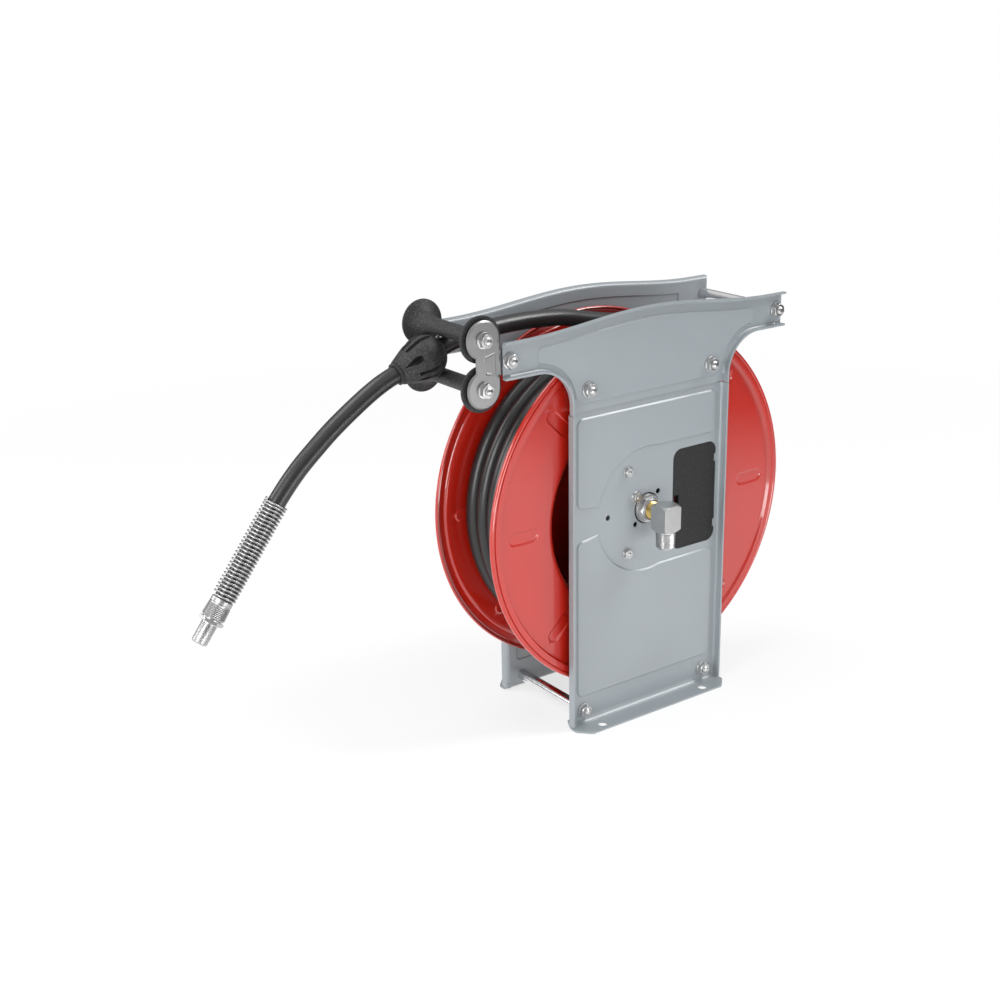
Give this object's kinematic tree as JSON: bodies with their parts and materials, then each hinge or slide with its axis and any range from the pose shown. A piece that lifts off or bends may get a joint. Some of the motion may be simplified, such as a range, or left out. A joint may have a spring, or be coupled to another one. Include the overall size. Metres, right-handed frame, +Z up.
{
  "type": "spring rewind hose reel",
  "caption": "Open spring rewind hose reel: sheet metal frame on two feet, red drum with wound rubber hose, roller hose guide, ball stop, latch and elbow inlet.",
  "frame": {"origin": "on the surface under the feet, below the middle of the reel's box with the free hose left out", "axes": "+Z up, +X along the axle out of the inlet side, -Y towards the side where the hose leaves"},
  "size_m": [0.18, 0.6883, 0.4602],
  "materials": {
    "frame_paint": "satin blue-grey powder coat",
    "drum_paint": "gloss red paint",
    "zinc": "bright zinc plate",
    "bright_rod": "bright plated wire and tube",
    "steel": "turned steel",
    "stainless": "satin stainless sheet",
    "brass": "turned brass",
    "black_plastic": "fine grained black plastic",
    "hose_rubber": "smooth black rubber, satin"
  },
  "bodies": {
    "frame": {"arm_rod_nut": "zinc", "arm_tie_rod": "bright_rod", "axle": "steel", "axle_end_nut": "zinc", "axle_lock_ring": "zinc", "axle_nut": "zinc", "axle_spacer": "steel", "foot_rod_nut_front": "zinc", "foot_rod_nut_rear": "zinc", "foot_tie_rod_front": "bright_rod", "foot_tie_rod_rear": "bright_rod", "hose_end_fitting": "steel", "hose_ferrule": "bright_rod", "hose_lead": "hose_rubber", "hose_stop_left": "black_plastic", "hose_stop_right": "black_plastic", "hose_tail": "hose_rubber", "hub_screw": "zinc", "inlet_arm_bolt_front": "zinc", "inlet_arm_bolt_rear": "zinc", "inlet_arm_plate": "frame_paint", "inlet_bracket_bolt": "zinc", "inlet_column_plate": "frame_paint", "inlet_elbow": "steel", "inlet_nipple": "brass", "inlet_roller_bracket": "stainless", "latch_bolt_lower": "zinc", "latch_bolt_upper": "zinc", "latch_housing": "black_plastic", "lower_roller_axle": "zinc", "lower_roller_nut": "zinc", "pawl_pin": "zinc", "pawl_spring": "zinc", "spring_arm_bolt_front": "zinc", "spring_arm_bolt_rear": "zinc", "spring_arm_plate": "frame_paint", "spring_bracket_bolt": "zinc", "spring_column_plate": "frame_paint", "spring_guard": "bright_rod", "spring_roller_bracket": "stainless", "upper_roller_axle": "zinc", "upper_roller_nut": "zinc"},
    "drum": {"inlet_disc": "drum_paint", "spring_disc": "drum_paint", "drum_barrel": "drum_paint", "hub_web": "drum_paint", "spring_case": "steel", "main_spring": "steel", "swivel_body": "brass", "ratchet_ring": "steel", "hose_connector": "brass", "case_bush": "brass", "swivel_seal_inner": "hose_rubber", "swivel_seal_outer": "hose_rubber", "hose_core": "hose_rubber", "hose_winding": "hose_rubber"},
    "upper_roller": {"upper_roller": "black_plastic"},
    "lower_roller": {"lower_roller": "black_plastic"},
    "pawl": {"pawl": "steel"}
  },
  "joints": [
    {"name": "drum_spin", "type": "hinge", "parent": "frame", "child": "drum", "pos_m": [-0.0075, 0.01525, 0.2263], "axis": [1, 0, 0], "continuous": true},
    {"name": "upper_roller_spin", "type": "hinge", "parent": "frame", "child": "upper_roller", "pos_m": [-0.0075, -0.18975, 0.4372], "axis": [1, 0, 0], "continuous": true},
    {"name": "lower_roller_spin", "type": "hinge", "parent": "frame", "child": "lower_roller", "pos_m": [-0.0075, -0.18975, 0.389], "axis": [1, 0, 0], "continuous": true},
    {"name": "pawl_tilt", "type": "hinge", "parent": "frame", "child": "pawl", "pos_m": [0.03175, -0.01075, 0.2823], "axis": [1, 0, 0], "range_deg": [-13, 0], "stiffness_Nm_per_rad": 0.1}
  ]
}
